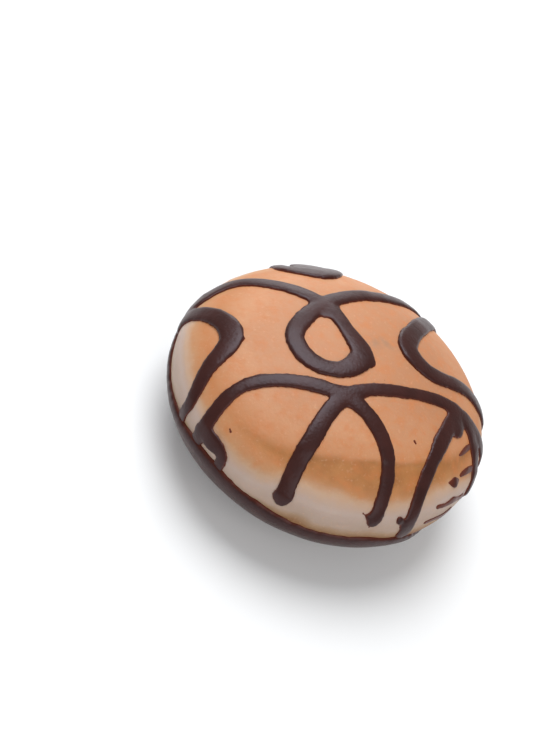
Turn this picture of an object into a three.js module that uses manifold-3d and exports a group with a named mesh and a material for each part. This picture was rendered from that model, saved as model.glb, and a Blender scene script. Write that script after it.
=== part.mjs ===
// A chocolate doughnut without a hole. A ball of yeast dough is fried into a flat
// dome, its underside is dipped in dark chocolate, and a thread of dark chocolate is piped
// over the top in rows of hanging loops. Millimetres, +Z up. The origin is the centre of
// the flat underside, and +X runs along the rows of piping.
import * as THREE from "three";
import { mergeVertices } from "three/addons/utils/BufferGeometryUtils.js";
import Module from "manifold-3d";

const wasm = await Module();
wasm.setup();

// The dough, as half a superellipse above its widest line and half a fuller one below it.
const LENGTH = 86.8;
const WIDTH = 83.2;
const CROWN_HEIGHT = 20;
const CROWN_POWER = 1.86;
const BELLY_DEPTH = 20.2;
const BELLY_POWER = 2.25;
const FOOT_DEPTH = 18.5; // from the widest line down to the flat underside

// The chocolate coat on the underside.
const COAT_THICKNESS = 1.2;
const COAT_GAP = 0.35; // clearance between dough and coat
const RIM_HEIGHT = 16.6; // mean height of the coat's edge
const RIM_TILT = 1.5; // the dip went deeper on one side
const RIM_TILT_AZIMUTH = THREE.MathUtils.degToRad(-110);
const RIM_WAVE = 0.8;
const RIM_WAVES = 5;
const RIM_WAVE_START = THREE.MathUtils.degToRad(105);
const RIM_DIP = 6; // how far the edge drops where the coat ran thin
const RIM_DIP_AZIMUTH = THREE.MathUtils.degToRad(-49);
const RIM_DIP_SPREAD = THREE.MathUtils.degToRad(20);

// The piped thread.
const THREAD_HEIGHT = 0.22; // as a share of its width
const THREAD_STEP = 3.5; // length of one straight stretch of the thread's mesh
const THREAD_SIDES = 12;
const THREAD_REACH = 0.998; // share of the widest outline at which the thread ends
const SHORTEST_RUN = 7;
const PATH_SAMPLES = 60; // between two of the nozzle's points

const AZIMUTH_STEPS = 64;
const CROWN_RINGS = 13;
const BELLY_RINGS = 7;

const WIDEST_HEIGHT = FOOT_DEPTH + COAT_THICKNESS + COAT_GAP;
const MEAN_RADIUS = (LENGTH + WIDTH) / 4;

// Where the nozzle went, seen from above, and how wide the thread set. A row runs from
// crest to crest, and between two crests it goes round a loop, whose first place is where
// it crosses itself.
const ROWS = [
  {
    width: 5.4,
    crests: [[-56, 54], [-20, 54], [16, 54], [52, 54]],
    loops: [
      [[-38, 48], [-26, 36], [-40, 28], [-51, 34]],
      [[-1.2, 50.3], [6, 38.8], [-0.8, 31.3], [-10.4, 35.2]],
      [[34, 49], [44, 39], [32, 34], [23, 40]],
    ],
  },
  {
    width: 5,
    crests: [[-56, 25.6], [-25.2, 27.9], [12.2, 23.8], [57.8, 21.6]],
    loops: [
      [[-39.1, 20.7], [-33.2, 13.4], [-32.2, 6.2], [-38.4, -1.6], [-46.2, -13.2], [-54, 4]],
      [[-6.5, 16.4], [-2.8, 6.8], [-0.9, -1.8], [-8, -6.5], [-15, -3.3], [-17.4, 4.6]],
      [[39.5, 26], [50, 4], [48, -6], [34.4, -3.2], [19.8, -2.2], [14.8, 3.7], [20.5, 12.5]],
    ],
  },
  {
    width: 4.2,
    crests: [[-48.6, -5.8], [-31, -8.8], [10.8, -10.6], [52, -27]],
    loops: [
      [[-39.8, -15.7], [-38, -19.2], [-35.6, -23.8], [-35.4, -34], [-45, -36.4]],
      [
        [-7.4, -13.6], [0.4, -21.4], [3.2, -30.4], [0.9, -40],
        [-8, -55], [-23.4, -44], [-22, -33.2], [-17.5, -25],
      ],
      [
        [29.4, -12.4], [33.9, -18.2], [34.3, -26], [24, -54],
        [11, -48], [12.4, -37.3], [15.8, -29.5], [20.9, -20.6],
      ],
    ],
  },
];

// A closed geometry as a manifold-3d solid.
function solidFrom(geometry) {
  const bare = geometry.clone();
  bare.deleteAttribute("normal");
  bare.deleteAttribute("uv");
  const merged = mergeVertices(bare, 1e-4);
  return new wasm.Manifold(
    new wasm.Mesh({
      numProp: 3,
      vertProperties: merged.attributes.position.array,
      triVerts: new Uint32Array(merged.index.array),
    }),
  );
}

// A manifold-3d solid as a geometry.
function geometryFrom(solid) {
  const { numProp, vertProperties, triVerts } = solid.getMesh();
  if (numProp !== 3) throw new Error("expected positions alone");
  const geometry = new THREE.BufferGeometry();
  geometry.setAttribute("position", new THREE.BufferAttribute(vertProperties, 3));
  geometry.setIndex(new THREE.BufferAttribute(triVerts, 1));
  geometry.computeVertexNormals();
  return geometry;
}

// The dough's radius at a height, as if its outline were a circle of MEAN_RADIUS.
function radiusAt(height) {
  const rise = height - WIDEST_HEIGHT;
  const [reach, power] = rise > 0 ? [CROWN_HEIGHT, CROWN_POWER] : [BELLY_DEPTH, BELLY_POWER];
  return MEAN_RADIUS * Math.max(0, 1 - (Math.abs(rise) / reach) ** power) ** (1 / power);
}

// The height of the dough's top over a place that is a given share of the way out.
function crownHeight(share) {
  return WIDEST_HEIGHT + CROWN_HEIGHT * (1 - share ** CROWN_POWER) ** (1 / CROWN_POWER);
}

// Points of the lower half's section, from the foot up to a height, moved out by a distance.
function bellySection(topHeight, offset, rings) {
  const lowest = Math.asin((FOOT_DEPTH / BELLY_DEPTH) ** (BELLY_POWER / 2));
  const highest = Math.asin(((WIDEST_HEIGHT - topHeight) / BELLY_DEPTH) ** (BELLY_POWER / 2));
  return Array.from({ length: rings + 1 }, (_, i) => {
    const angle = THREE.MathUtils.lerp(lowest, highest, i / rings);
    const across = Math.cos(angle) ** (2 / BELLY_POWER);
    const down = Math.sin(angle) ** (2 / BELLY_POWER);
    const normal = new THREE.Vector2(
      across ** (BELLY_POWER - 1) / MEAN_RADIUS,
      -(down ** (BELLY_POWER - 1)) / BELLY_DEPTH,
    ).normalize();
    return new THREE.Vector2(MEAN_RADIUS * across, WIDEST_HEIGHT - BELLY_DEPTH * down)
      .addScaledVector(normal, offset);
  });
}

// A section turned about +Z and stretched to the dough's length and width.
function turned(section) {
  return new THREE.LatheGeometry(section, AZIMUTH_STEPS)
    .rotateX(Math.PI / 2)
    .scale(LENGTH / 2 / MEAN_RADIUS, WIDTH / 2 / MEAN_RADIUS, 1);
}

function makeDough() {
  const crown = Array.from({ length: CROWN_RINGS }, (_, i) => {
    const angle = ((i + 1) / CROWN_RINGS) * (Math.PI / 2);
    return new THREE.Vector2(
      i + 1 === CROWN_RINGS ? 0 : MEAN_RADIUS * Math.cos(angle) ** (2 / CROWN_POWER),
      WIDEST_HEIGHT + CROWN_HEIGHT * Math.sin(angle) ** (2 / CROWN_POWER),
    );
  });
  const belly = bellySection(WIDEST_HEIGHT, 0, BELLY_RINGS);
  return turned([new THREE.Vector2(0, belly[0].y), ...belly, ...crown]);
}

// The edge of the coat is higher on one side and gently waved, with one low place.
function rimHeight(azimuth) {
  const fromDip = THREE.MathUtils.euclideanModulo(azimuth - RIM_DIP_AZIMUTH + Math.PI, 2 * Math.PI) - Math.PI;
  return (
    RIM_HEIGHT +
    RIM_TILT * Math.cos(azimuth - RIM_TILT_AZIMUTH) +
    RIM_WAVE * Math.sin(RIM_WAVES * azimuth + RIM_WAVE_START) -
    RIM_DIP * Math.exp(-((fromDip / RIM_DIP_SPREAD) ** 2))
  );
}

function makeCoat() {
  const outer = bellySection(RIM_HEIGHT, COAT_GAP + COAT_THICKNESS, BELLY_RINGS);
  const inner = bellySection(RIM_HEIGHT, COAT_GAP, BELLY_RINGS).reverse();
  const lip = outer.at(-1).clone().lerp(inner[0], 0.5).add(new THREE.Vector2(0, COAT_THICKNESS / 2));
  const foot = new THREE.Vector2(outer[0].x, 0);
  const section = [new THREE.Vector2(0, 0), foot, ...outer.slice(1), lip, ...inner];
  const geometry = turned([...section, new THREE.Vector2(0, inner.at(-1).y)]);
  const place = geometry.attributes.position;
  for (let i = 0; i < place.count; i++) {
    const [x, y, z] = [place.getX(i), place.getY(i), place.getZ(i)];
    const lift = (rimHeight(Math.atan2(y, x)) - RIM_HEIGHT) * (z / RIM_HEIGHT) ** 2;
    const swell = radiusAt(z + lift) / radiusAt(z) || 1;
    place.setXYZ(i, x * swell, y * swell, z + lift);
  }
  return geometry;
}

// The radius of the round tube whose cap stands over the dough as a thread of that width.
function tubeRadius(width) {
  const height = THREAD_HEIGHT * width;
  return (width ** 2 / 4 + height ** 2) / (2 * height);
}

// A place seen from above, laid on the dough's top and sunk by some depth.
function laidOnTop([x, y], depth) {
  const share = Math.hypot(x / (LENGTH / 2), y / (WIDTH / 2));
  const z = crownHeight(share);
  const normal = new THREE.Vector3(
    (share ** (CROWN_POWER - 2) * x) / (LENGTH / 2) ** 2,
    (share ** (CROWN_POWER - 2) * y) / (WIDTH / 2) ** 2,
    ((z - WIDEST_HEIGHT) / CROWN_HEIGHT) ** (CROWN_POWER - 1) / CROWN_HEIGHT,
  ).normalize();
  return new THREE.Vector3(x, y, z).addScaledVector(normal, -depth);
}

// The stretches of a row that land on the dough, as points THREAD_STEP apart. They are cut
// at the lowest place of each loop, so that no stretch crosses itself.
function landedRuns({ width, crests, loops }) {
  const nozzle = [crests[0]];
  const cuts = [0];
  loops.forEach((loop, i) => {
    const lowest = loop.reduce((best, place, j) => (place[1] < loop[best][1] ? j : best), 0);
    cuts.push(nozzle.length + lowest);
    nozzle.push(...loop, loop[0], crests[i + 1]);
  });
  cuts.push(nozzle.length - 1);
  const path = nozzle.map(([x, y]) => new THREE.Vector3(x, y, 0));
  const curve = new THREE.CatmullRomCurve3(path, false, "centripetal");
  const sunk = tubeRadius(width) - THREAD_HEIGHT * width;
  const runs = [];
  for (let i = 0; i + 1 < cuts.length; i++) {
    runs.push([]);
    for (let step = cuts[i] * PATH_SAMPLES; step <= cuts[i + 1] * PATH_SAMPLES; step++) {
      const { x, y } = curve.getPoint(step / PATH_SAMPLES / (nozzle.length - 1));
      const landed = Math.hypot(x / (LENGTH / 2), y / (WIDTH / 2)) < THREAD_REACH;
      if (landed) runs.at(-1).push(laidOnTop([x, y], sunk));
      else if (runs.at(-1).length) runs.push([]);
    }
  }
  return runs
    .filter((run) => run.length > 1)
    .map((run) => new THREE.CatmullRomCurve3(run))
    .filter((run) => run.getLength() > SHORTEST_RUN)
    .map((run) => run.getSpacedPoints(Math.round(run.getLength() / THREAD_STEP)));
}

// One run of thread, as a round tube with a ball at each end.
function threadSolids(run, radius) {
  const section = new THREE.Shape(
    Array.from({ length: THREAD_SIDES }, (_, i) => {
      const angle = (i / THREAD_SIDES) * 2 * Math.PI;
      return new THREE.Vector2(Math.cos(angle), Math.sin(angle)).multiplyScalar(radius);
    }),
  );
  const tube = new THREE.ExtrudeGeometry(section, {
    steps: run.length - 1,
    extrudePath: new THREE.CatmullRomCurve3(run),
  });
  const balls = [run[0], run.at(-1)].map((end) =>
    new THREE.IcosahedronGeometry(radius, 1).translate(...end.toArray()),
  );
  return [tube, ...balls].map(solidFrom);
}

const threads = ROWS.flatMap((row) =>
  landedRuns(row).flatMap((run) => threadSolids(run, tubeRadius(row.width))),
);
const doughWithThreads = wasm.Manifold.union([solidFrom(makeDough()), ...threads]);

const dough = new THREE.Mesh(
  geometryFrom(doughWithThreads),
  new THREE.MeshStandardMaterial({ color: 0xd08d55, roughness: 0.6, metalness: 0 }),
);
dough.name = "fried_dough";

const coat = new THREE.Mesh(
  makeCoat(),
  new THREE.MeshStandardMaterial({ color: 0x3a2320, roughness: 0.35, metalness: 0 }),
);
coat.name = "chocolate_coat";

const doughnut = new THREE.Group();
doughnut.add(dough, coat);
export default doughnut;
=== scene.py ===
import math

import bmesh
import bpy
import numpy as np
from mathutils import Matrix, Vector


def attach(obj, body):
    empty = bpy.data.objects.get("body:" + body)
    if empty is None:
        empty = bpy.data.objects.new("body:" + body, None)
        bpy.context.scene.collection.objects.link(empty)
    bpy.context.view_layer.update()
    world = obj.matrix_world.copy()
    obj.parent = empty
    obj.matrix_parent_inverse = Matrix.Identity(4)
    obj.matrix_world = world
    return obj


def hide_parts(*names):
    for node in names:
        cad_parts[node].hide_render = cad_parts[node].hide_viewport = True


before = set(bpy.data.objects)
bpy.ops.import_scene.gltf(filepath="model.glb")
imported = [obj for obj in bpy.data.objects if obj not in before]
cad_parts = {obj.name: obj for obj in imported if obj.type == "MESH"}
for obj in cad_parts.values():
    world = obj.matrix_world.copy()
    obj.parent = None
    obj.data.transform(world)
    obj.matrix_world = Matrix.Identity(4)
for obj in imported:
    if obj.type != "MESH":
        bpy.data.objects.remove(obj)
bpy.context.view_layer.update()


# ---------------------------------------------------------------------------------------
# The dough: a ball of yeast dough, proved and fried on one side and then the other. Its
# crust is golden on top and below, with a pale waist that stayed clear of the hot fat,
# and it is as uneven as dough that was handled soft.
# ---------------------------------------------------------------------------------------

MM = 0.001

LENGTH = 86.8 * MM
WIDTH = 83.2 * MM
CROWN_HEIGHT = 20.0 * MM  # above the widest line
CROWN_POWER = 1.86  # 2 is an ellipse, and more is boxier
BELLY_DEPTH = 20.2 * MM  # below the widest line, if the dough weren't flat underneath
BELLY_POWER = 2.25
FOOT_DEPTH = 18.5 * MM  # where the dough is flat
UNDER_FOOT = 1.55 * MM  # the coat below it
WIDEST_HEIGHT = FOOT_DEPTH + UNDER_FOOT


def put(tree, kind, feeds=(), **settings):
    """A new node with these settings, fed with numbers or with what other nodes put out."""
    node = tree.nodes.new(kind)
    for name, value in settings.items():
        setattr(node, name, value)
    for name, feed in dict(feeds).items():
        if isinstance(feed, Field):
            feed = feed.socket
        if isinstance(feed, bpy.types.NodeSocket):
            tree.links.new(feed, node.inputs[name])
        else:
            node.inputs[name].default_value = feed
    return node


class Field:
    """A number that a node tree works out over the surface, so that a rule reads as a sum."""

    def __init__(self, tree, socket):
        self.tree = tree
        self.socket = socket

    def made(self, operation, *values):
        node = put(self.tree, "ShaderNodeMath", enumerate(values), operation=operation)
        return Field(self.tree, node.outputs[0])

    def __add__(self, other):
        return self.made("ADD", self, other)

    def __sub__(self, other):
        return self.made("SUBTRACT", self, other)

    def __rsub__(self, other):
        return self.made("SUBTRACT", other, self)

    def __mul__(self, other):
        return self.made("MULTIPLY", self, other)

    def __truediv__(self, other):
        return self.made("DIVIDE", self, other)

    def __rtruediv__(self, other):
        return self.made("DIVIDE", other, self)

    def __pow__(self, other):
        return self.made("POWER", self, other)

    def __gt__(self, other):
        return self.made("GREATER_THAN", self, other)

    def __abs__(self):
        return self.made("ABSOLUTE", self)

    def least(self, other):
        return self.made("MINIMUM", self, other)

    def most(self, other):
        return self.made("MAXIMUM", self, other)

    def eased(self, low, high):
        """0 below low, 1 above high, and a smooth step between them."""
        feeds = {"Value": self, "From Min": low, "From Max": high}
        node = put(self.tree, "ShaderNodeMapRange", feeds, interpolation_type="SMOOTHSTEP")
        return Field(self.tree, node.outputs[0])

    def bump(self, middle, reach):
        """1 at the middle, falling to nothing over the reach on both sides."""
        away = (self - middle) / reach
        return self.made("POWER", math.e, away * away * -1)


NOISE_STRETCH = 2.6  # plain noise keeps near a half


def unevenness(tree, where, size, seed, detail=2.0):
    """Smooth noise between about -1 and 1, whose lumps are about that size across."""
    feeds = {"Vector": where, "W": seed, "Scale": 1 / size, "Detail": detail}
    node = put(tree, "ShaderNodeTexNoise", feeds, noise_dimensions="4D")
    return Field(tree, node.outputs[0]) * NOISE_STRETCH - NOISE_STRETCH / 2


def xyz(tree, vector):
    node = put(tree, "ShaderNodeSeparateXYZ", {0: vector})
    return [Field(tree, socket) for socket in node.outputs]


def together(tree, x, y, z):
    return put(tree, "ShaderNodeCombineXYZ", {0: x, 1: y, 2: z}).outputs[0]


def scaled(tree, vector, by):
    return put(tree, "ShaderNodeVectorMath", {0: vector, "Scale": by}, operation="SCALE").outputs[0]


def input_kind(value):
    if isinstance(value, bpy.types.Object):
        return "NodeSocketObject"
    if isinstance(value, bpy.types.Material):
        return "NodeSocketMaterial"
    return "NodeSocketInt" if isinstance(value, int) else "NodeSocketFloat"


def new_tree(name, sizes):
    """An empty Geometry Nodes tree with a named input for each size, and its inputs' node."""
    tree = bpy.data.node_groups.new(name, "GeometryNodeTree")
    interface = tree.interface
    interface.new_socket("Geometry", in_out="INPUT", socket_type="NodeSocketGeometry")
    for size, value in sizes.items():
        interface.new_socket(size, in_out="INPUT", socket_type=input_kind(value))
    interface.new_socket("Geometry", in_out="OUTPUT", socket_type="NodeSocketGeometry")
    given = put(tree, "NodeGroupInput").outputs
    numbers = {size: Field(tree, given[size]) for size in sizes}
    return tree, given, numbers


def end_tree(tree, geometry, material):
    smooth = put(tree, "GeometryNodeSetShadeSmooth", {"Geometry": geometry}).outputs[0]
    real = put(tree, "GeometryNodeRealizeInstances", {"Geometry": smooth}).outputs[0]
    painted = put(tree, "GeometryNodeSetMaterial", {"Geometry": real, "Material": material})
    put(tree, "NodeGroupOutput", {"Geometry": painted.outputs[0]})


def shape_by(piece, tree, sizes):
    """Puts the tree on the piece, with its inputs set to these sizes."""
    modifier = piece.modifiers.new(tree.name, "NODES")
    modifier.node_group = tree
    for socket in tree.interface.items_tree:
        if socket.in_out == "INPUT" and socket.name in sizes:
            modifier[socket.identifier] = sizes[socket.name]


def new_piece(name, mesh=None):
    piece = bpy.data.objects.new(name, mesh or bpy.data.meshes.new(name))
    bpy.context.scene.collection.objects.link(piece)
    return piece


def settle(piece, material):
    """Makes what the piece's modifiers give its own plain mesh."""
    depsgraph = bpy.context.evaluated_depsgraph_get()
    piece.data = bpy.data.meshes.new_from_object(piece.evaluated_get(depsgraph))
    piece.modifiers.clear()
    piece.data.name = piece.name
    piece.data.materials.clear()
    piece.data.materials.append(material)


def srgb(red, green, blue):
    """A colour as a camera's eight-bit numbers give it, as the shader's own numbers."""
    steps = [v / 255 for v in (red, green, blue)]
    return (*[v / 12.92 if v <= 0.04045 else ((v + 0.055) / 1.055) ** 2.4 for v in steps], 1.0)


def mixed(tree, share, under, over):
    """The colour over, laid by that share on the colour under."""
    return put(tree, "ShaderNodeMix", {0: share, 6: under, 7: over}, data_type="RGBA").outputs[2]


def ramp(tree, value, stops):
    node = put(tree, "ShaderNodeValToRGB", {"Fac": value})
    elements = node.color_ramp.elements
    while len(elements) < len(stops):
        elements.new(1.0)
    for element, (position, colour) in zip(elements, stops):
        element.position = position
        element.color = colour
    return node.outputs[0]


def front_share(tree, x, y, azimuth):
    """1 at that azimuth and -1 across from it."""
    around = ((x * x + y * y) ** 0.5).most(1e-6)
    return (x * math.cos(azimuth) + y * math.sin(azimuth)) / around


CRUST_SEED = 4
FOLD_AZIMUTH = math.radians(-87)
WAIST_TOP = 24.2 * MM
WAIST_RISE = 2.9 * MM  # so much higher in front

# By height above the top of the pale waist, in millimetres: the fried side below, the
# waist and the crust of the dome.
CRUST_COLOURS = [
    (-9.5, srgb(146, 104, 66)),
    (-7.5, srgb(166, 134, 104)),
    (-6.0, srgb(182, 157, 139)),
    (-2.0, srgb(197, 174, 161)),
    (0.3, srgb(200, 164, 136)),
    (1.8, srgb(198, 146, 104)),
    (4.5, srgb(196, 132, 86)),
    (9.0, srgb(204, 146, 106)),
    (12.0, srgb(195, 137, 98)),
    (16.5, srgb(192, 135, 97)),
]

WAIST_DRIFT = 0.7  # how far the waist's top wanders, in millimetres
WAIST_PATCHES = 1.4
# The colours under the front fold: golden-brown crust darkened with painted shade below the crease.
UNDER_FOLD_BROWN_AND_SHADE = srgb(160, 104, 54), srgb(186, 126, 72)
# Painted shade: the colour that darkens the right side of the dome.
PAINTED_SIDE_SHADE = srgb(168, 112, 78)
BLOTCHES = srgb(202, 122, 68)
PALE_DOTS = srgb(222, 176, 142)
CRUST_ROUGHNESS = 0.56

# How wide the spots are in which the crust differs.
DRIFT_SPOT = 22 * MM
WAIST_SPOT = 6 * MM
GOLD_SPOT = 4.5 * MM
BLOTCH_SPOT = 2.6 * MM
PALE_SPOT = 0.75 * MM
DULL_SPOT = 2 * MM
PORE = 0.9 * MM
WRINKLE = 3 * MM

# A smudge where chocolate was wiped thin, seen from above.
SMUDGE_X, SMUDGE_Y = 7.0 * MM, 3.6 * MM
SMUDGE_LENGTH, SMUDGE_WIDTH = 5.0 * MM, 2.4 * MM
SMUDGE_SPOT = 3 * MM
SMUDGE_LOW, SMUDGE_FULL = 30 * MM, 34 * MM  # the heights at which it begins and is full
SMUDGE_COLOUR = srgb(136, 118, 98)


def over_waist(tree, where, x, y, z):
    """Millimetres above the waist's top, which is as uneven as the fat left it."""
    drift = unevenness(tree, where, DRIFT_SPOT, CRUST_SEED) * WAIST_DRIFT
    patches = unevenness(tree, where, WAIST_SPOT, CRUST_SEED + 1, 4.0) * WAIST_PATCHES
    front = front_share(tree, x, y, FOLD_AZIMUTH).eased(0.62, 0.9)
    return (z - WAIST_TOP - front * WAIST_RISE) / MM + drift + patches


def fried_by_height(tree, over):
    low, high = CRUST_COLOURS[0][0], CRUST_COLOURS[-1][0]
    stops = [((height - low) / (high - low), colour) for height, colour in CRUST_COLOURS]
    return ramp(tree, (over - low) / (high - low), stops)


def browned_and_painted_shade(tree, where, x, over, colour):
    """Under the fold at the front the crust is darker, partly its golden browning and partly painted
    shade below the crease, and the right side of the dome is painted darker as shade.
    """
    fold = Field(tree, put(tree, "ShaderNodeAttribute", attribute_name="fold").outputs["Fac"])
    gold = unevenness(tree, where, GOLD_SPOT, CRUST_SEED + 7, 3.0).eased(-0.7, 0.8)
    golden = mixed(tree, gold, *UNDER_FOLD_BROWN_AND_SHADE)
    # Painted shade below the fold, laid with the crust's golden browning.
    under_fold = mixed(tree, fold * over.eased(-0.4, 2.4) * 0.9, colour, golden)
    # Painted shade: the right side of the dome's top painted darker.
    side_shade = x.eased(-5 * MM, 25 * MM) * over.eased(6.0, 10.0) * 0.3
    return mixed(tree, side_shade, under_fold, PAINTED_SIDE_SHADE)


def spotted(tree, where, over, colour):
    """Blotches above the waist, and pale dots all over."""
    blotch = unevenness(tree, where, BLOTCH_SPOT, CRUST_SEED + 2, 4.0).eased(-0.3, 0.9) * 0.7
    blotched = mixed(tree, blotch * over.eased(0.0, 3.0), colour, BLOTCHES)
    dots = unevenness(tree, where, PALE_SPOT, CRUST_SEED + 3, 2.0).eased(0.15, 1.0) * 0.4
    return mixed(tree, dots, blotched, PALE_DOTS)


def smudged(tree, where, x, y, z, colour):
    smudge = x.bump(SMUDGE_X, SMUDGE_LENGTH) * y.bump(SMUDGE_Y, SMUDGE_WIDTH)
    smudge = smudge * z.eased(SMUDGE_LOW, SMUDGE_FULL)
    smudge = smudge * unevenness(tree, where, SMUDGE_SPOT, CRUST_SEED + 8, 3.0).eased(-0.5, 0.6)
    return mixed(tree, smudge * 0.55, colour, SMUDGE_COLOUR)


def crust_material():
    material = bpy.data.materials.new("Fried crust")
    material.use_nodes = True
    tree = material.node_tree
    shader = tree.nodes["Principled BSDF"]
    where = put(tree, "ShaderNodeTexCoord").outputs["Object"]
    x, y, z = xyz(tree, where)

    over = over_waist(tree, where, x, y, z)
    # The crust's colour by height, with painted shade under the fold and on the dome's right side.
    colour = browned_and_painted_shade(tree, where, x, over, fried_by_height(tree, over))
    colour = smudged(tree, where, x, y, z, spotted(tree, where, over, colour))
    tree.links.new(colour, shader.inputs["Base Color"])

    roughness = unevenness(tree, where, DULL_SPOT, CRUST_SEED + 4) * 0.06 + CRUST_ROUGHNESS
    tree.links.new(roughness.socket, shader.inputs["Roughness"])
    shader.inputs["Specular IOR Level"].default_value = 0.35
    shader.inputs["Subsurface Weight"].default_value = 0.12
    shader.inputs["Subsurface Radius"].default_value = (1.0, 0.45, 0.2)
    shader.inputs["Subsurface Scale"].default_value = 2.5 * MM

    pores = unevenness(tree, where, PORE, CRUST_SEED + 5, 3.0)
    wrinkles = unevenness(tree, where, WRINKLE, CRUST_SEED + 6, 2.0)
    height = pores * 0.4 + wrinkles * 0.6
    bump = put(tree, "ShaderNodeBump", {"Height": height, "Strength": 0.5, "Distance": 0.15 * MM})
    tree.links.new(bump.outputs[0], shader.inputs["Normal"])
    return material


CRUST = crust_material()

DOUGH_SIZES = {
    "Length": LENGTH,
    "Width": WIDTH,
    "Crown height": CROWN_HEIGHT,
    "Crown power": CROWN_POWER,
    "Belly depth": BELLY_DEPTH,
    "Belly power": BELLY_POWER,
    "Foot depth": FOOT_DEPTH,
    "Widest height": WIDEST_HEIGHT,
    "Around": 360,
    "Rings": 220,
    "Lumps": 0.35 * MM,
    "Lump size": 24.0 * MM,
    "Small lumps": 0.105 * MM,
    "Small lump size": 9.0 * MM,
    "Fold depth": 0.35 * MM,
    "Fold height": 33.9 * MM,
    "Fold fall": 7.0 * MM,
    "Fold wander": 0.5 * MM,
    "Fold wander length": 8.0 * MM,
    "Fold softness": 0.8 * MM,
    "Side softness": 5.0 * MM,
    "Fold start": 3.0 * MM,
    "Fold end": 8.5 * MM,
    "Ridge": 0.16 * MM,
    "Ridge height": 24.0 * MM,
    "Ridge width": 0.6 * MM,
    "Ridge wander": 0.7 * MM,
    "Ridge wander length": 18.0 * MM,
    "Ridge gaps": 12.0 * MM,
    "Seed": 4.0,
    "Material": CRUST,
}


def dough_tree():
    tree, given, size = new_tree("Fried dough", DOUGH_SIZES)
    ball = put(
        tree,
        "GeometryNodeMeshUVSphere",
        {"Segments": given["Around"], "Rings": given["Rings"], "Radius": 1.0},
    ).outputs[0]
    here = put(tree, "GeometryNodeInputPosition").outputs[0]

    # A unit ball is pulled out to a superellipse above its widest line and a fuller one below.
    x, y, z = xyz(tree, here)
    around = ((x * x + y * y) ** 0.5).most(1e-6)
    is_crown = z > 0.0
    power = is_crown * (2 / size["Crown power"]) + (1 - is_crown) * (2 / size["Belly power"])
    out = around**power / around
    rise = z.most(0.0) ** (2 / size["Crown power"]) * size["Crown height"]
    drop = (z * -1).most(0.0) ** (2 / size["Belly power"]) * size["Belly depth"]
    height = size["Widest height"] + rise - drop.least(size["Foot depth"])
    place = together(tree, x * out * size["Length"] / 2, y * out * size["Width"] / 2, height)
    dough = put(tree, "GeometryNodeSetPosition", {"Geometry": ball, "Position": place}).outputs[0]

    # Soft lumps. A place is read where it's used, so from here on it's one on the dough.
    lumps = (
        unevenness(tree, here, size["Lump size"], size["Seed"]) * size["Lumps"]
        + unevenness(tree, here, size["Small lump size"], 2) * size["Small lumps"]
    )

    # A fold across the front shoulder: sharp in the middle, lower and softer to the sides.
    x, y, z = xyz(tree, here)
    facing = front_share(tree, x, y, FOLD_AZIMUTH)
    fold_line = size["Fold height"] - (1 - facing) * size["Fold fall"]
    wander = unevenness(tree, here, size["Fold wander length"], 5) * size["Fold wander"]
    under_fold = fold_line + wander - z
    soft = (1 - facing) * size["Side softness"] + size["Fold softness"]
    squeeze = (1 - (1 - facing) * 1.2).most(0.2)
    fold = (
        (under_fold / soft).eased(0.0, 1.0)
        * (1 - (under_fold / squeeze).eased(size["Fold start"], size["Fold end"]))
        * facing.eased(0.2, 0.66)
    )

    # A faint ridge along the waist, broken in places.
    wander = unevenness(tree, here, size["Ridge wander length"], 6) * size["Ridge wander"]
    unbroken = unevenness(tree, here, size["Ridge gaps"], 7).eased(-0.4, 0.5)
    ridge = z.bump(size["Ridge height"] + wander, size["Ridge width"]) * unbroken

    relief = lumps - fold * size["Fold depth"] + ridge * size["Ridge"]
    normal = put(tree, "GeometryNodeInputNormal").outputs[0]
    uneven = put(
        tree,
        "GeometryNodeSetPosition",
        {"Geometry": dough, "Offset": scaled(tree, normal, relief)},
    ).outputs[0]
    marked = put(
        tree, "GeometryNodeStoreNamedAttribute", {"Geometry": uneven, "Name": "fold", "Value": fold}
    ).outputs[0]
    end_tree(tree, marked, given["Material"])
    return tree


dough = new_piece("fried_crust")
shape_by(dough, dough_tree(), DOUGH_SIZES)
settle(dough, CRUST)
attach(dough, "root")
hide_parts("fried_dough")


# ---------------------------------------------------------------------------------------
# The piped chocolate: one thread of melted dark chocolate for each row, let fall from a
# small round nozzle that swings in loops along the doughnut. It set where it landed, so
# the crossings ran together, and where the nozzle passed the edge it hangs down the side.
# ---------------------------------------------------------------------------------------

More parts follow.
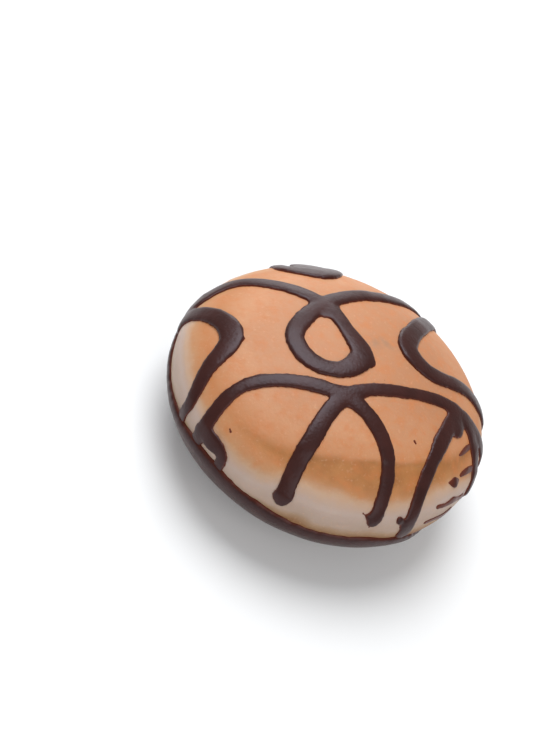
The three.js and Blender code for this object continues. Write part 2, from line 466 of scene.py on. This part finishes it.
# Where the nozzle went, seen from above: x, y and how wide the thread set there, in
# millimetres. A row runs from crest to crest, and between two crests it goes round a loop,
# whose first place is where it crosses itself. "hangs" says for both ends of each stretch
# that landed how far it hangs below the widest line, or how far it fell short of it.
ROWS = [
    {
        "crests": [(-56, 54, 5), (-20, 54, 5), (16, 54, 5), (52, 54, 5)],
        "loops": [
            [(-38, 48, 5), (-26, 36, 5), (-40, 28, 5), (-51, 34, 5)],
            [(-1.2, 50.3, 3), (6.0, 39.2, 5), (-0.6, 31.7, 6), (-10.4, 35.2, 4.6)],
            [(34, 49, 5), (44, 39, 5), (32, 34, 5), (23, 40, 5)],
        ],
        "hangs": [(0, 0)],
    },
    {
        "crests": [(-56, 25.6, 4.6), (-25.2, 27.9, 4.4), (12.2, 23.8, 4.6), (57.8, 21.6, 5)],
        "loops": [
            [
                (-39.1, 20.7, 5),
                (-33.2, 13.4, 5.6),
                (-32.2, 6.2, 6.2),
                (-38.6, -1.6, 4.4),
                (-46.4, -13.2, 3.2),
                (-54, 4, 4),
            ],
            [
                (-6.5, 16.4, 5),
                (-2.8, 6.8, 5),
                (-0.9, -1.8, 6.2),
                (-8, -6.2, 5.0),
                (-15.0, -3.3, 5.0),
                (-17.4, 4.6, 5.2),
            ],
            [
                (39.5, 26, 5),
                (50, 4, 5),
                (48, -6, 5),
                (34.7, -2.7, 4.8),
                (19.8, -2.2, 5.4),
                (14.8, 3.7, 6.6),
                (20.5, 12.5, 5.4),
            ],
        ],
        "hangs": [(2, 4), (1, 2), (2, 2)],
    },
    {
        "crests": [(-48.6, -5.8, 3.2), (-31.0, -8.6, 3.8), (10.8, -10.6, 3.6), (52, -27, 4)],
        "loops": [
            [
                (-39.8, -15.7, 4.1),
                (-38.0, -19.2, 4.6),
                (-35.6, -23.8, 3.2),
                (-35.4, -34, 3),
                (-45, -36.4, 3),
            ],
            [
                (-7.4, -13.6, 4.4),
                (0.4, -21.4, 4.4),
                (3.2, -30.4, 4.3),
                (0.9, -40, 4.0),
                (-8, -55, 4),
                (-23.4, -44, 4.6),
                (-22.0, -33.2, 4.6),
                (-17.5, -25, 4.8),
            ],
            [
                (29.5, -12.0, 4.4),
                (33.9, -18.2, 4.2),
                (34.3, -26.0, 4.2),
                (24, -54, 5),
                (11.0, -48, 4.4),
                (12.4, -37.3, 4.2),
                (15.8, -29.5, 4.3),
                (20.9, -20.6, 4.7),
            ],
        ],
        "hangs": [(0, 3), (4, -3), (-1.0, 2.5), (1.5, 2.5)],
    },
]
LANDING_REACH = 0.998  # what falls within this share of the dough's outline lands on it
SHORTEST_RUN = 7 * MM
THREAD_STEP = 0.6 * MM
PATH_STEPS = 60  # between two of the nozzle's places

# Where chocolate pooled, seen from above: x, y, how far it spread and how high it stands,
# in millimetres.
POOLS = [
    (-1.7, 36.8, 6.0, 0.7),
    (-6.7, 15.2, 4.6, 0.8),
    (-7.3, -13.6, 3.3, 0.8),
    (26.4, -15.7, 3.5, 0.8),
    (-31.2, 5.8, 2.3, 0.7),
    (-30.1, 5.3, 1.1, 0.6),
    (0.9, -2.9, 2.3, 0.7),
    (1.8, -3.6, 1.1, 0.6),
    (-22.9, -34.5, 2.35, 0.8),
    (-1.1, -39.9, 0.9, 0.6),
    (-2.6, -39.5, 0.6, 0.4),
    (8.3, -39.7, 1.3, 0.8),
    (10.9, -39.9, 2.1, 0.8),
    (-38.7, -18.2, 2.1, 0.8),
    (33.2, -26.7, 1.9, 0.8),
]


def dough_point(x, y):
    """A place seen from above, laid on the dough's top."""
    share = math.hypot(x / (LENGTH / 2), y / (WIDTH / 2))
    rise = CROWN_HEIGHT * (1 - share**CROWN_POWER) ** (1 / CROWN_POWER)
    return np.array([x, y, WIDEST_HEIGHT + rise])


def down_the_side(edge, depth):
    """The place that depth below the widest line, straight below a place at the edge."""
    reach = math.hypot(edge[0] / (LENGTH / 2), edge[1] / (WIDTH / 2))
    share = (1 - (max(depth, 0.0) / BELLY_DEPTH) ** BELLY_POWER) ** (1 / BELLY_POWER)
    return np.array([edge[0] * share / reach, edge[1] * share / reach, WIDEST_HEIGHT - depth])


def between(p, q, start, end, at):
    """The place between two places that are passed at the start and at the end."""
    return p + (q - p) * (at - start) / (end - start)


def thread_path(row):
    """The nozzle's way along a row, as a centripetal spline through its named places."""
    places = [row["crests"][0]]
    for loop, crest in zip(row["loops"], row["crests"][1:]):
        places += [*loop, loop[0], crest]
    places = np.array(places) * MM
    places = np.vstack([2 * places[0] - places[1], places, 2 * places[-1] - places[-2]])
    for p, q, r, s in zip(places, places[1:], places[2:], places[3:]):
        spans = [np.linalg.norm(b[:2] - a[:2]) ** 0.5 for a, b in ((p, q), (q, r), (r, s))]
        t0, t1, t2, t3 = np.cumsum([0, *spans])
        for t in np.linspace(t1, t2, PATH_STEPS, endpoint=False):
            a1, a2, a3 = between(p, q, t0, t1, t), between(q, r, t1, t2, t), between(r, s, t2, t3, t)
            yield between(between(a1, a2, t0, t2, t), between(a2, a3, t1, t3, t), t1, t2, t)


def runs_on_dough(row):
    """The stretches of a row that landed on the dough, as rows of x, y, z and width."""
    runs = [[]]
    for x, y, width in thread_path(row):
        if math.hypot(x / (LENGTH / 2), y / (WIDTH / 2)) < LANDING_REACH:
            runs[-1].append((*dough_point(x, y), width))
        elif runs[-1]:
            runs.append([])
    runs = [np.array(run) for run in runs if len(run) > 1]
    return [run for run in runs if travelled(run)[-1] > SHORTEST_RUN]


def with_end(run, hang):
    """The run with its first end hanging down the side, or cut short where hang is negative."""
    if hang <= 0:
        return run[travelled(run) > -hang * MM]
    depths = np.arange(hang * MM, WIDEST_HEIGHT - run[0][2], -THREAD_STEP)
    return np.vstack([[(*down_the_side(run[0], depth), run[0][3]) for depth in depths], run])


def landed_runs(row):
    """The stretches of a row with both their ends as they hang, in even steps."""
    for run, (start, end) in zip(runs_on_dough(row), row["hangs"]):
        run = with_end(run, start)[::-1]
        yield even_steps(with_end(run, end)[::-1])


def travelled(run):
    """How far along the run each of its places lies."""
    return np.concatenate([[0], np.cumsum(np.linalg.norm(np.diff(run[:, :3], axis=0), axis=1))])


def even_steps(run):
    """The same run with its places evenly spaced."""
    way = travelled(run)
    at = np.linspace(0, way[-1], round(way[-1] / THREAD_STEP) + 1)
    return np.column_stack([np.interp(at, way, column) for column in run.T])


def guide_mesh(name, runs, pools):
    """Lines for the threads and loose points for the pools, each with its spread and height."""
    places = [row for run in runs for row in run]
    lines = []
    for run in runs:
        first = lines[-1][1] + 1 if lines else 0
        lines += [(first + i, first + i + 1) for i in range(len(run) - 1)]
    points = [tuple(row[:3]) for row in places]
    points += [tuple(dough_point(x * MM, y * MM)) for x, y, _, _ in pools]
    spreads = [row[3] / 2 for row in places] + [spread * MM for _, _, spread, _ in pools]
    stands = [0.0 for _ in places] + [height * MM for _, _, _, height in pools]
    mesh = bpy.data.meshes.new(name)
    mesh.from_pydata(points, lines, [])
    mesh.attributes.new("spread", "FLOAT", "POINT").data.foreach_set("value", spreads)
    mesh.attributes.new("stand", "FLOAT", "POINT").data.foreach_set("value", stands)
    return mesh


CHOCOLATE_SEED = 11
CHOCOLATE_SHADES = srgb(54, 26, 20), srgb(66, 33, 27)
CHOCOLATE_ROUGHNESS = 0.33
CLOUD_SPOT = 5 * MM
GLOSS_SPOT = 1.6 * MM
FINE_GRAIN = 0.8 * MM
THIN_CHOCOLATE = srgb(104, 46, 26)
THIN, THICK = 0.05, 0.55  # millimetres over which thin chocolate turns dark
THIN_SPOT = 1.1 * MM


def chocolate_material():
    material = bpy.data.materials.new("Dark chocolate")
    material.use_nodes = True
    tree = material.node_tree
    shader = tree.nodes["Principled BSDF"]
    where = put(tree, "ShaderNodeTexCoord").outputs["Object"]
    stand = Field(tree, put(tree, "ShaderNodeAttribute", attribute_name="stand").outputs["Fac"])
    wander = unevenness(tree, where, THIN_SPOT, CHOCOLATE_SEED + 1) * 0.1
    thick = (stand / MM + wander).eased(THIN, THICK)
    cloud = unevenness(tree, where, CLOUD_SPOT, CHOCOLATE_SEED, 3.0).eased(-0.8, 0.9)
    colour = mixed(tree, thick, THIN_CHOCOLATE, mixed(tree, cloud, *CHOCOLATE_SHADES))
    tree.links.new(colour, shader.inputs["Base Color"])
    gloss = unevenness(tree, where, GLOSS_SPOT, CHOCOLATE_SEED + 2, 3.0)
    roughness = gloss * 0.06 + CHOCOLATE_ROUGHNESS
    tree.links.new(roughness.socket, shader.inputs["Roughness"])
    shader.inputs["Specular IOR Level"].default_value = 0.27
    shader.inputs["Specular Tint"].default_value = (0.86, 0.88, 1.0, 1)
    fine = unevenness(tree, where, FINE_GRAIN, CHOCOLATE_SEED + 3, 3.0)
    bump = put(tree, "ShaderNodeBump", {"Height": fine, "Strength": 0.4, "Distance": 0.08 * MM})
    tree.links.new(bump.outputs[0], shader.inputs["Normal"])
    return material


CHOCOLATE = chocolate_material()

# A thread's section goes by half its width: how high it stands, how deep it sinks in, and
# how flat its top is, where 1 is a half ellipse and 0 a box.
THREAD_SIZES = {
    "Dough": dough,
    "Height": 0.325,
    "Depth": 0.3,
    "Flatness": 0.5,
    "Fullness": 1.07,
    "Swell": 0.12,
    "Swell length": 9 * MM,
    "Ripple": 0.05,
    "Ripple length": 2.4 * MM,
    "Seed": 21.0,
    "Material": CHOCOLATE,
}


def stored(tree, name):
    return Field(tree, put(tree, "GeometryNodeInputNamedAttribute", {"Name": name}).outputs[0])


def surface_of(tree, mesh, place, what):
    """The Position or the Normal of a mesh where it is nearest to the place."""
    value = put(tree, "GeometryNodeInput" + what).outputs[0]
    feeds = {"Mesh": mesh, "Value": value, "Sample Position": place}
    return put(tree, "GeometryNodeSampleNearestSurface", feeds, data_type="FLOAT_VECTOR").outputs[0]


def thread_section(tree, size):
    """A low rounded top, with a flatter part below it that sinks into the crust."""
    circle = put(tree, "GeometryNodeCurvePrimitiveCircle", {"Resolution": 20, "Radius": 1.0}).outputs[0]
    px, py, _ = xyz(tree, put(tree, "GeometryNodeInputPosition").outputs[0])
    up = px.most(0.0) ** size["Flatness"] * size["Height"]
    down = (px * -1).most(0.0) * size["Depth"]
    place = together(tree, up - down, py, 0.0)
    return put(tree, "GeometryNodeSetPosition", {"Geometry": circle, "Position": place}).outputs[0]


def drops(tree, points, chosen, upright, scale):
    """A squashed ball on each chosen point, square to the dough."""
    ball = put(tree, "GeometryNodeMeshIcoSphere", {"Radius": 1.0, "Subdivisions": 4}).outputs[0]
    feeds = {"Points": points, "Selection": chosen, "Instance": ball, "Scale": scale}
    feeds["Rotation"] = put(
        tree, "FunctionNodeAlignRotationToVector", {"Vector": upright}, axis="Z"
    ).outputs[0]
    return put(tree, "GeometryNodeInstanceOnPoints", feeds).outputs[0]


def thread_tree():
    tree, given, size = new_tree("Piped thread", THREAD_SIZES)
    dough_mesh = put(tree, "GeometryNodeObjectInfo", {"Object": given["Dough"]}).outputs["Geometry"]
    here = put(tree, "GeometryNodeInputPosition").outputs[0]
    on_dough = surface_of(tree, dough_mesh, here, "Position")
    upright = surface_of(tree, dough_mesh, here, "Normal")
    spread = stored(tree, "spread")
    stand = stored(tree, "stand")
    split = put(
        tree,
        "GeometryNodeSeparateGeometry",
        {"Geometry": given["Geometry"], "Selection": stand > 0.0},
    )

    # Threads: laid on the dough, standing square to it, and swept with their section.
    line = put(tree, "GeometryNodeMeshToCurve", {"Mesh": split.outputs["Inverted"]}).outputs[0]
    line = put(tree, "GeometryNodeSetPosition", {"Geometry": line, "Position": on_dough}).outputs[0]
    line = put(
        tree, "GeometryNodeSetCurveNormal", {"Curve": line, "Normal": upright}, mode="FREE"
    ).outputs[0]
    swell = (
        unevenness(tree, here, size["Swell length"], size["Seed"]) * size["Swell"]
        + unevenness(tree, here, size["Ripple length"], size["Seed"] + 1) * size["Ripple"]
        + size["Fullness"]
    )
    thread = put(
        tree,
        "GeometryNodeCurveToMesh",
        {
            "Curve": line,
            "Profile Curve": thread_section(tree, size),
            "Scale": swell * spread,
            "Fill Caps": True,
        },
    ).outputs[0]

    # Round ends of the threads, and pools.
    ends = put(tree, "GeometryNodeCurveEndpointSelection", {"Start Size": 1, "End Size": 1}).outputs[0]
    tips = drops(tree, line, ends, upright, together(tree, spread, spread, size["Height"] * spread))
    points = put(
        tree,
        "GeometryNodeMeshToPoints",
        {"Mesh": split.outputs["Selection"], "Position": on_dough},
    ).outputs[0]
    pools = drops(tree, points, True, upright, together(tree, spread, spread, stand))
    joined = put(tree, "GeometryNodeJoinGeometry")
    for part in (thread, pools, tips):
        tree.links.new(part, joined.inputs[0])
    end_tree(tree, joined.outputs[0], given["Material"])
    return tree


SETTING_SIZES = {
    "Dough": dough,
    "Softening": 7,  # times that each place moves between its neighbours
    "Edge": 0.3 * MM,
    "Edge grain": 1.8 * MM,
    "Teeth": 0.16 * MM,
    "Teeth grain": 0.7 * MM,
    "Material": CHOCOLATE,
}


def along(tree, vector, direction):
    """How far a vector reaches in that direction."""
    feeds = {0: vector, 1: direction}
    node = put(tree, "ShaderNodeVectorMath", feeds, operation="DOT_PRODUCT")
    return Field(tree, node.outputs["Value"])


def setting_tree():
    """Softens the joins where threads ran together, and roughens the edges on the crust."""
    tree, given, size = new_tree("Set chocolate", SETTING_SIZES)
    dough_mesh = put(tree, "GeometryNodeObjectInfo", {"Object": given["Dough"]}).outputs["Geometry"]
    here = put(tree, "GeometryNodeInputPosition").outputs[0]
    soft = put(
        tree,
        "GeometryNodeBlurAttribute",
        {"Value": here, "Iterations": given["Softening"]},
        data_type="FLOAT_VECTOR",
    ).outputs[0]
    run_together = put(
        tree, "GeometryNodeSetPosition", {"Geometry": given["Geometry"], "Position": soft}
    ).outputs[0]
    normal = put(tree, "GeometryNodeInputNormal").outputs[0]
    up = surface_of(tree, dough_mesh, here, "Normal")
    sideways = 1 - abs(along(tree, normal, up)).eased(0.35, 0.9)
    _, normal_y, _ = xyz(tree, normal)
    edge = unevenness(tree, here, size["Edge grain"], 31, 2.0) * size["Edge"]
    teeth = unevenness(tree, here, size["Teeth grain"], 32, 1.0) * size["Teeth"]
    rough = (edge + teeth * (normal_y * -1).most(0.0)) * sideways
    edged = put(
        tree,
        "GeometryNodeSetPosition",
        {"Geometry": run_together, "Offset": scaled(tree, normal, rough)},
    ).outputs[0]
    nearest = surface_of(tree, dough_mesh, here, "Position")
    away = put(tree, "ShaderNodeVectorMath", {0: here, 1: nearest}, operation="SUBTRACT").outputs[0]
    marked = put(
        tree,
        "GeometryNodeStoreNamedAttribute",
        {"Geometry": edged, "Name": "stand", "Value": along(tree, away, up)},
    ).outputs[0]
    end_tree(tree, marked, given["Material"])
    return tree


THREADS = thread_tree()
SETTING = setting_tree()


def pipe_chocolate(name, runs, pools, thread_sizes, setting_sizes, grain):
    """Threads and pools run together into one skin, whose faces are about a grain wide."""
    piped = new_piece(name, guide_mesh(name, runs, pools))
    shape_by(piped, THREADS, THREAD_SIZES | thread_sizes)
    joined = piped.modifiers.new("Run together", "REMESH")
    joined.mode = "VOXEL"
    joined.voxel_size = grain
    joined.use_smooth_shade = True
    shape_by(piped, SETTING, SETTING_SIZES | setting_sizes)
    settle(piped, CHOCOLATE)
    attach(piped, "root")
    return piped


PIPING_GRAIN = 0.32 * MM

runs = [run for row in ROWS for run in landed_runs(row)]
piping = pipe_chocolate("piped_chocolate", runs, POOLS, {}, {}, PIPING_GRAIN)
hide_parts("fried_dough")

# Where the nozzle flicked or dripped: thin smears and specks, as places seen from above
# with the width there, in millimetres.
SMEARS = [
    [(32.8, -18.2, 1.5), (30.4, -20.0, 1.7), (28.4, -21.8, 1.4), (27.2, -22.8, 0.6)],
    [(33.4, -23.0, 1.8), (31.0, -24.6, 1.8), (29.2, -25.9, 1.5), (28.0, -26.9, 1.1)],
    [(27.0, -28.2, 1.2), (25.9, -29.0, 2.8), (25.1, -29.4, 2.5), (23.4, -29.9, 0.6)],
    [
        (30.6, -29.2, 1.8),
        (28.4, -30.8, 1.3),
        (26.0, -32.1, 2.0),
        (23.2, -33.9, 1.2),
        (20.2, -35.2, 1.3),
    ],
    [(26.6, -32.8, 1.4), (23.6, -34.9, 1.8), (20.8, -36.4, 1.3), (17.6, -37.9, 1.2)],
    [(-35.1, -18.3, 0.5), (-34.9, -19.1, 0.7)],
    [(11.2, -23.2, 0.8), (11.6, -23.7, 0.7)],
    [(4.5, -8.0, 0.5), (4.7, -8.2, 0.5)],
    [(0.2, -41.2, 0.7), (0.4, -41.3, 0.6)],
]
SMEAR_SIZES = {"Height": 0.28}
SMEAR_SETTING = {
    "Softening": 3,
    "Edge": 0.12 * MM,
    "Edge grain": 0.7 * MM,
    "Teeth": 0.1 * MM,
    "Teeth grain": 0.4 * MM,
}
SMEAR_GRAIN = 0.12 * MM


def smear_run(smear):
    return even_steps(np.array([(*dough_point(x * MM, y * MM), width * MM) for x, y, width in smear]))


runs = [smear_run(smear) for smear in SMEARS]
smears = pipe_chocolate("chocolate_smears", runs, [], SMEAR_SIZES, SMEAR_SETTING, SMEAR_GRAIN)
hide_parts("fried_dough")


# ---------------------------------------------------------------------------------------
# The chocolate coat: the doughnut's underside was pressed into a dish of melted dark
# chocolate and lifted out at a slight slant, so the coat is higher on one side and runs
# low at one place. It set standing, which left it flat below.
# ---------------------------------------------------------------------------------------

COAT_THICKNESS = 1.3 * MM
COAT_BITE = 0.15 * MM  # how far the coat reaches into the crust
COAT_AROUND = 480
COAT_RINGS = 64
RING_CROWDING = 0.8  # under 1 the rings crowd towards the rim
FOOT_CURL = 0.05 * MM
RIM_HEIGHT = 16.6 * MM
RIM_TILT = 1.5 * MM
RIM_TILT_AZIMUTH = math.radians(-110)
RIM_WAVE = 0.8 * MM
RIM_WAVES = 5
RIM_WAVE_START = math.radians(105)
RIM_DIP = 6.0 * MM
RIM_DIP_AZIMUTH = math.radians(-49)
RIM_DIP_SPREAD = math.radians(20)
RIM_RIPPLE = 0.28 * MM
RIM_CRUMBLE = 0.10 * MM
SKIN_RIPPLE = 0.10 * MM
LIP = 2.6 * MM  # the coat thins out over this height below its rim
MEAN_RADIUS = (LENGTH + WIDTH) / 4


def waves(azimuth, amount, seed, counts):
    """A closed wavy line round the doughnut: a sum of waves with seeded strengths."""
    draw = np.random.default_rng(seed)
    total = np.zeros_like(azimuth)
    for count in counts:
        strength, start = draw.normal(), draw.uniform(0, 2 * math.pi)
        total += strength * np.sin(count * azimuth + start)
    return total * amount / len(counts) ** 0.5


def rim_heights(azimuth):
    """The coat's edge all round: tilted, waved and uneven, with one low place."""
    from_dip = (azimuth - RIM_DIP_AZIMUTH + math.pi) % (2 * math.pi) - math.pi
    return (
        RIM_HEIGHT
        + RIM_TILT * np.cos(azimuth - RIM_TILT_AZIMUTH)
        - RIM_DIP * np.exp(-((from_dip / RIM_DIP_SPREAD) ** 2))
        + RIM_WAVE * np.sin(RIM_WAVES * azimuth + RIM_WAVE_START)
        + waves(azimuth, RIM_RIPPLE, 3, range(7, 30, 2))
        + waves(azimuth, RIM_CRUMBLE, 4, range(31, 120, 5))
    )


def belly_angle(depth):
    """Where on the belly's section a depth below the widest line lies."""
    return np.arcsin((depth / BELLY_DEPTH) ** (BELLY_POWER / 2))


def belly_ring(azimuth, angle, offset):
    """A ring round the belly at that angle of its section, moved out square to the dough."""
    share = np.cos(angle) ** (2 / BELLY_POWER)
    down = np.sin(angle) ** (2 / BELLY_POWER)
    normal_out = share ** (BELLY_POWER - 1) / MEAN_RADIUS
    normal_down = down ** (BELLY_POWER - 1) / BELLY_DEPTH
    length = np.hypot(normal_out, normal_down)
    grown = share + offset * normal_out / length / MEAN_RADIUS
    x = LENGTH / 2 * grown * np.cos(azimuth)
    y = WIDTH / 2 * grown * np.sin(azimuth)
    z = WIDEST_HEIGHT - BELLY_DEPTH * down - offset * normal_down / length
    return np.column_stack([x, y, z])


def coat_rings():
    """The rings of the coat, from its flat foot out and up to the rim, and down inside."""
    azimuth = np.arange(COAT_AROUND) * 2 * math.pi / COAT_AROUND
    rim = rim_heights(azimuth)
    thickness = COAT_THICKNESS + waves(azimuth, SKIN_RIPPLE, 5, range(3, 25, 2))
    lowest = belly_angle(FOOT_DEPTH)
    highest = belly_angle(WIDEST_HEIGHT - rim)
    outer, inner = [], []
    for i in range(COAT_RINGS + 1):
        angle = lowest + (highest - lowest) * (i / COAT_RINGS) ** RING_CROWDING
        height = WIDEST_HEIGHT - BELLY_DEPTH * np.sin(angle) ** (2 / BELLY_POWER)
        thinned = 1 - np.clip((rim - height) / LIP, 0, 1)
        outer.append(belly_ring(azimuth, angle, thickness * np.sqrt(1 - thinned**2)))
        inner.append(belly_ring(azimuth, angle, -COAT_BITE))
    foot = outer[0].copy()
    foot[:, 2] = 0
    outer[0][:, 2] = np.maximum(outer[0][:, 2], FOOT_CURL)
    return [foot, *outer, *inner[::-1]]


def closed_shell(name, rings):
    """A smooth mesh of quads from ring to ring, with a fan in the first and in the last."""
    shape = bmesh.new()
    made = [[shape.verts.new(tuple(place)) for place in ring] for ring in rings]
    around = len(made[0])
    for below, above in zip(made, made[1:]):
        for i in range(around):
            j = (i + 1) % around
            shape.faces.new((below[i], below[j], above[j], above[i]))
    for ring, height in ((made[0], rings[0][0][2]), (made[-1], rings[-1][0][2])):
        middle = shape.verts.new((0, 0, height))
        for i in range(around):
            shape.faces.new((middle, ring[i], ring[(i + 1) % around]))
    bmesh.ops.remove_doubles(shape, verts=shape.verts, dist=0.01 * MM)
    bmesh.ops.recalc_face_normals(shape, faces=shape.faces)
    mesh = bpy.data.meshes.new(name)
    shape.to_mesh(mesh)
    shape.free()
    mesh.shade_smooth()
    return mesh


FOOT_SHARE = 0.5  # within this share of the outline the coat is its flat foot


def mark_thin_edge(mesh):
    """Stores how far each place of the coat stands off the dough, for its colour."""
    stand = mesh.attributes.new("stand", "FLOAT", "POINT")
    for vertex, value in zip(mesh.vertices, stand.data):
        x, y, z = vertex.co
        down = max(WIDEST_HEIGHT - z, 0.0) / BELLY_DEPTH
        out = math.hypot(x / (LENGTH / 2), y / (WIDTH / 2))
        off_dough = (math.hypot(out, down) - 1) * BELLY_DEPTH
        value.value = off_dough if out > FOOT_SHARE else COAT_THICKNESS


coat = new_piece("dipped_chocolate", closed_shell("dipped_chocolate", coat_rings()))
mark_thin_edge(coat.data)
coat.data.materials.append(CHOCOLATE)
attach(coat, "root")
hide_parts("chocolate_coat")


# ---------------------------------------------------------------------------------------
# The studio: a plain white floor, large soft lights overhead, behind and in front, and the
# camera, which looks down on the doughnut.
# ---------------------------------------------------------------------------------------

FLOOR_SIZE = 3.0
FLOOR_WHITE = 0.86
FLOOR_GLOW = 0.12

# For each light: where it stands seen from the doughnut, how far off, how wide it is, its
# power in watts and its colour.
LIGHTS = {
    "overhead": ((-0.06, 0.42, 0.88), 0.75, 0.65, 5.5, (0.96, 0.98, 1.0)),
    "back": ((0.22, 0.92, 0.3), 0.8, 0.4, 1.2, (0.96, 0.98, 1.0)),
    "front": ((0.1, -0.85, 0.6), 0.9, 0.8, 2.3, (1.0, 0.98, 0.95)),
}
ROOM_COLOUR = (0.95, 0.97, 1.0, 1)
ROOM_LIGHT = 0.3

CAMERA_PLACE = (-203.0 * MM, -250.7 * MM, 334.35 * MM)
CAMERA_RIGHT = Vector((0.90233808, -0.1838835, 0.38983694))
CAMERA_UP = Vector((-0.09674195, 0.79495836, 0.59890083))
CAMERA_LENS = 85
CAMERA_FILM = 36


def studio_floor():
    mesh = bpy.data.meshes.new("studio_floor")
    half = FLOOR_SIZE / 2
    corners = [(-half, -half, 0), (half, -half, 0), (half, half, 0), (-half, half, 0)]
    mesh.from_pydata(corners, [], [(0, 1, 2, 3)])
    floor = new_piece("studio_floor", mesh)
    material = bpy.data.materials.new("White floor")
    material.use_nodes = True
    shader = material.node_tree.nodes["Principled BSDF"]
    shader.inputs["Base Color"].default_value = (FLOOR_WHITE, FLOOR_WHITE, FLOOR_WHITE, 1)
    shader.inputs["Roughness"].default_value = 0.9
    shader.inputs["Specular IOR Level"].default_value = 0.1
    shader.inputs["Emission Color"].default_value = (1, 1, 1, 1)
    shader.inputs["Emission Strength"].default_value = FLOOR_GLOW
    mesh.materials.append(material)


def soft_light(name, towards, distance, size, power, colour):
    data = bpy.data.lights.new(name, "AREA")
    data.shape = "DISK"
    data.size = size
    data.energy = power
    data.color = colour
    lamp = bpy.data.objects.new(name, data)
    bpy.context.scene.collection.objects.link(lamp)
    direction = Vector(towards).normalized()
    lamp.location = direction * distance
    lamp.rotation_mode = "QUATERNION"
    lamp.rotation_quaternion = direction.to_track_quat("Z", "Y")


def room_light():
    world = bpy.data.worlds.new("Studio")
    world.use_nodes = True
    background = world.node_tree.nodes["Background"]
    background.inputs["Color"].default_value = ROOM_COLOUR
    background.inputs["Strength"].default_value = ROOM_LIGHT
    bpy.context.scene.world = world


def studio_camera():
    data = bpy.data.cameras.new("camera")
    data.lens = CAMERA_LENS
    data.sensor_width = CAMERA_FILM
    camera = bpy.data.objects.new("camera", data)
    bpy.context.scene.collection.objects.link(camera)
    axes = Matrix((CAMERA_RIGHT, CAMERA_UP, CAMERA_RIGHT.cross(CAMERA_UP))).transposed()
    camera.matrix_world = Matrix.Translation(CAMERA_PLACE) @ axes.to_4x4()
    bpy.context.scene.camera = camera


studio_floor()
for name, light in LIGHTS.items():
    soft_light(name, *light)
room_light()
studio_camera()
bpy.context.scene.view_settings.view_transform = "Standard"
